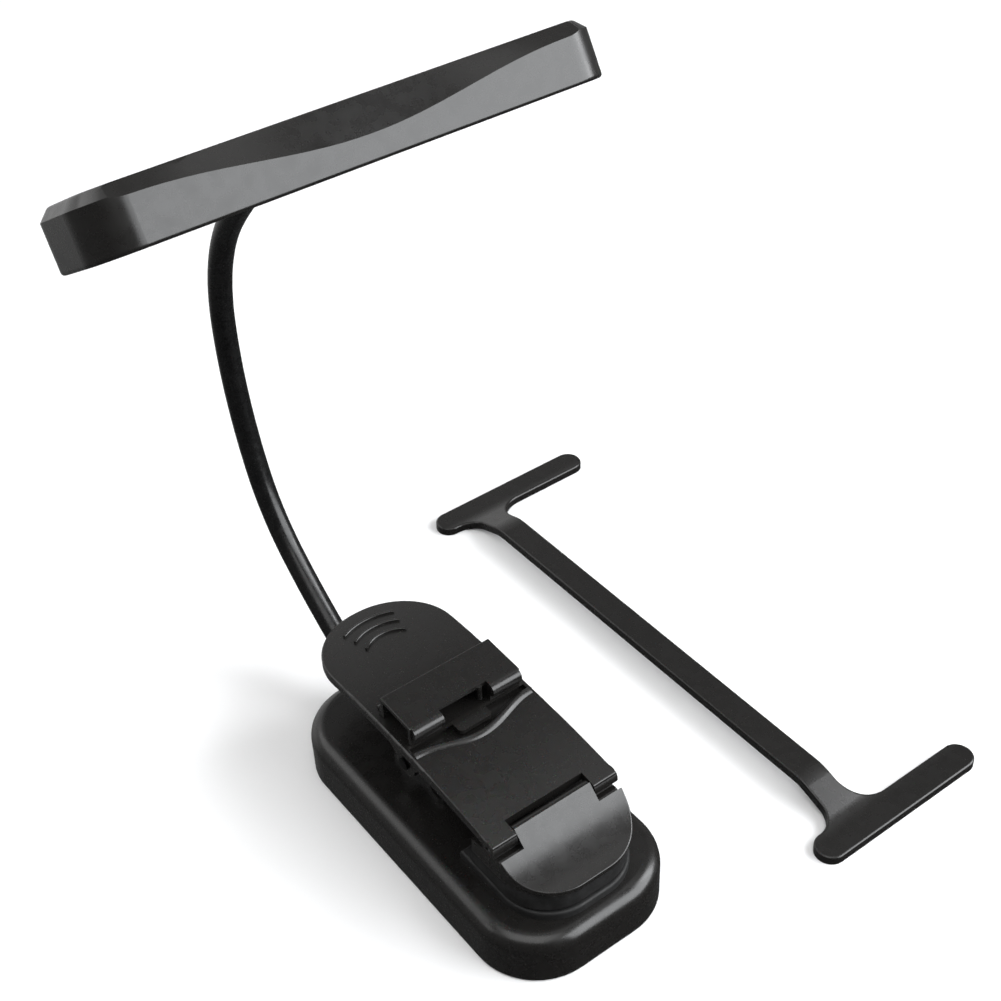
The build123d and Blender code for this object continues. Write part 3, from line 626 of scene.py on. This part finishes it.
def make_key_marks():
    """Raised marks: an open ring with a stroke on the power key, a small sun on the brightness key."""
    ring = wall_arc(BUTTON_FACE, POWER_Y, CONTROL_Z, MARK_RADIUS, 40, 320)
    stroke = wall_stroke(BUTTON_FACE, POWER_Y, CONTROL_Z, 0, 0.25 * MARK_RADIUS, 1.2 * MARK_RADIUS)
    power = tubes("power_mark", [ring, stroke], MARK_WIRE, MARK_SIDES)
    dress(power, "clear_pipe")
    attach(power, "power_key")
    disc = wall_arc(BUTTON_FACE, BRIGHTNESS_Y, CONTROL_Z, 0.45 * MARK_RADIUS, 0, 359)
    near, far = 0.75 * MARK_RADIUS, 1.15 * MARK_RADIUS
    rays = [
        wall_stroke(BUTTON_FACE, BRIGHTNESS_Y, CONTROL_Z, turn, near, far)
        for turn in range(0, 360, 45)
    ]
    sun = tubes("brightness_mark", [disc] + rays, MARK_WIRE, MARK_SIDES)
    dress(sun, "clear_pipe")
    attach(sun, "brightness_key")


def make_contacts():
    """Twelve plated strips on each face of the charging socket's tongue."""
    lines = []
    for row in range(CONTACTS):
        y = USB_Y + (row - (CONTACTS - 1) / 2) * CONTACT_PITCH
        for face in (-1, 1):
            start = Vector((CONTACT_START, y, CONTROL_Z + face * CONTACT_Z))
            end = start + Vector((CONTACT_LENGTH, 0, 0))
            lines.append([(start, Vector((1, 0, 0))), (end, Vector((1, 0, 0)))])
    contacts = tubes("usb_c_contacts", lines, CONTACT_RADIUS, MARK_SIDES)
    dress(contacts, "connector_steel")
    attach(contacts, "base")


# ---------------------------------------------------------------- screws

def cross_outline():
    """The twelve corners of a screw's cross recess, in order."""
    corners = []
    for quarter in range(4):
        turn = Matrix.Rotation(quarter * pi / 2, 2)
        for x, y in ((CROSS_ARM, -CROSS_HALF), (CROSS_ARM, CROSS_HALF), (CROSS_HALF, CROSS_HALF)):
            corners.append(turn @ Vector((x, y)))
    return corners


def add_screw(mesh, place, shank):
    """A domed head with a cross recess, on a shank. The head's flat side is at the place."""
    rings = []
    for radius, height in SCREW_PROFILE:
        ring = circle(radius, SCREW_SIDES)
        rings.append([mesh.verts.new(place @ Vector((x, y, height))) for x, y in ring])
    top = SCREW_PROFILE[-1][1]
    outline = cross_outline()
    mouth = [mesh.verts.new(place @ Vector((x, y, top))) for x, y in outline]
    floor = [mesh.verts.new(place @ Vector((x, y, top - CROSS_DEPTH))) for x, y in outline]
    for low, high in zip(rings, rings[1:]):
        add_wall(mesh, low, high)
    add_wall(mesh, mouth, floor)
    mesh.faces.new(floor)
    mesh.faces.new(reversed(rings[0]))
    rims = [(ring[step], ring[step - 1]) for ring in (rings[-1], mouth) for step in range(len(ring))]
    bmesh.ops.triangle_fill(mesh, edges=[mesh.edges.get(rim) for rim in rims], use_beauty=True)
    down = (place.to_3x3() @ Vector((0, 0, -1))).normalized()
    line = [(place.translation, down), (place.translation + down * shank, down)]
    add_tube(mesh, line, SCREW_SHANK, SCREW_SIDES)


def make_screws(name, places, shank, body, slot):
    """One piece of screws with cross recesses, which stands for a node of plain ones."""
    mesh = bmesh.new()
    for place in places:
        add_screw(mesh, place, shank)
    bmesh.ops.recalc_face_normals(mesh, faces=mesh.faces)
    screws = mesh_object(f"{name}_crosshead", mesh, mesh.faces)
    dress(screws, slot)
    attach(screws, body)
    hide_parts(name)


def head_frame():
    """The light head's own frame: x along it, y from its front to the neck, z up its thickness."""
    end, heading = neck_at(neck_length())
    back = -heading
    up = Vector((0, heading.z, -heading.y))
    corner = end - back * HEAD_DEPTH - up * NECK_ENTRY
    return Matrix.Translation(corner) @ Matrix((Vector((1, 0, 0)), back, up)).transposed().to_4x4()


def make_all_screws():
    face_down = Matrix.Rotation(pi, 4, "X")
    seat = (HEAD_DEPTH / 2, HEAD_SCREW_SEAT)
    places = [
        head_frame() @ Matrix.Translation((side * HEAD_SCREW_X, *seat)) @ face_down
        for side in (-1, 1)
    ]
    make_screws("head_screws", places, HEAD_SHANK, "head", "steel")


make_camera()
make_studio()
make_floor()
LOOKS = make_looks()
dress_cad_nodes()
make_neck()
make_spring()
make_grips()
make_ridge()
make_key_marks()
make_contacts()
make_all_screws()
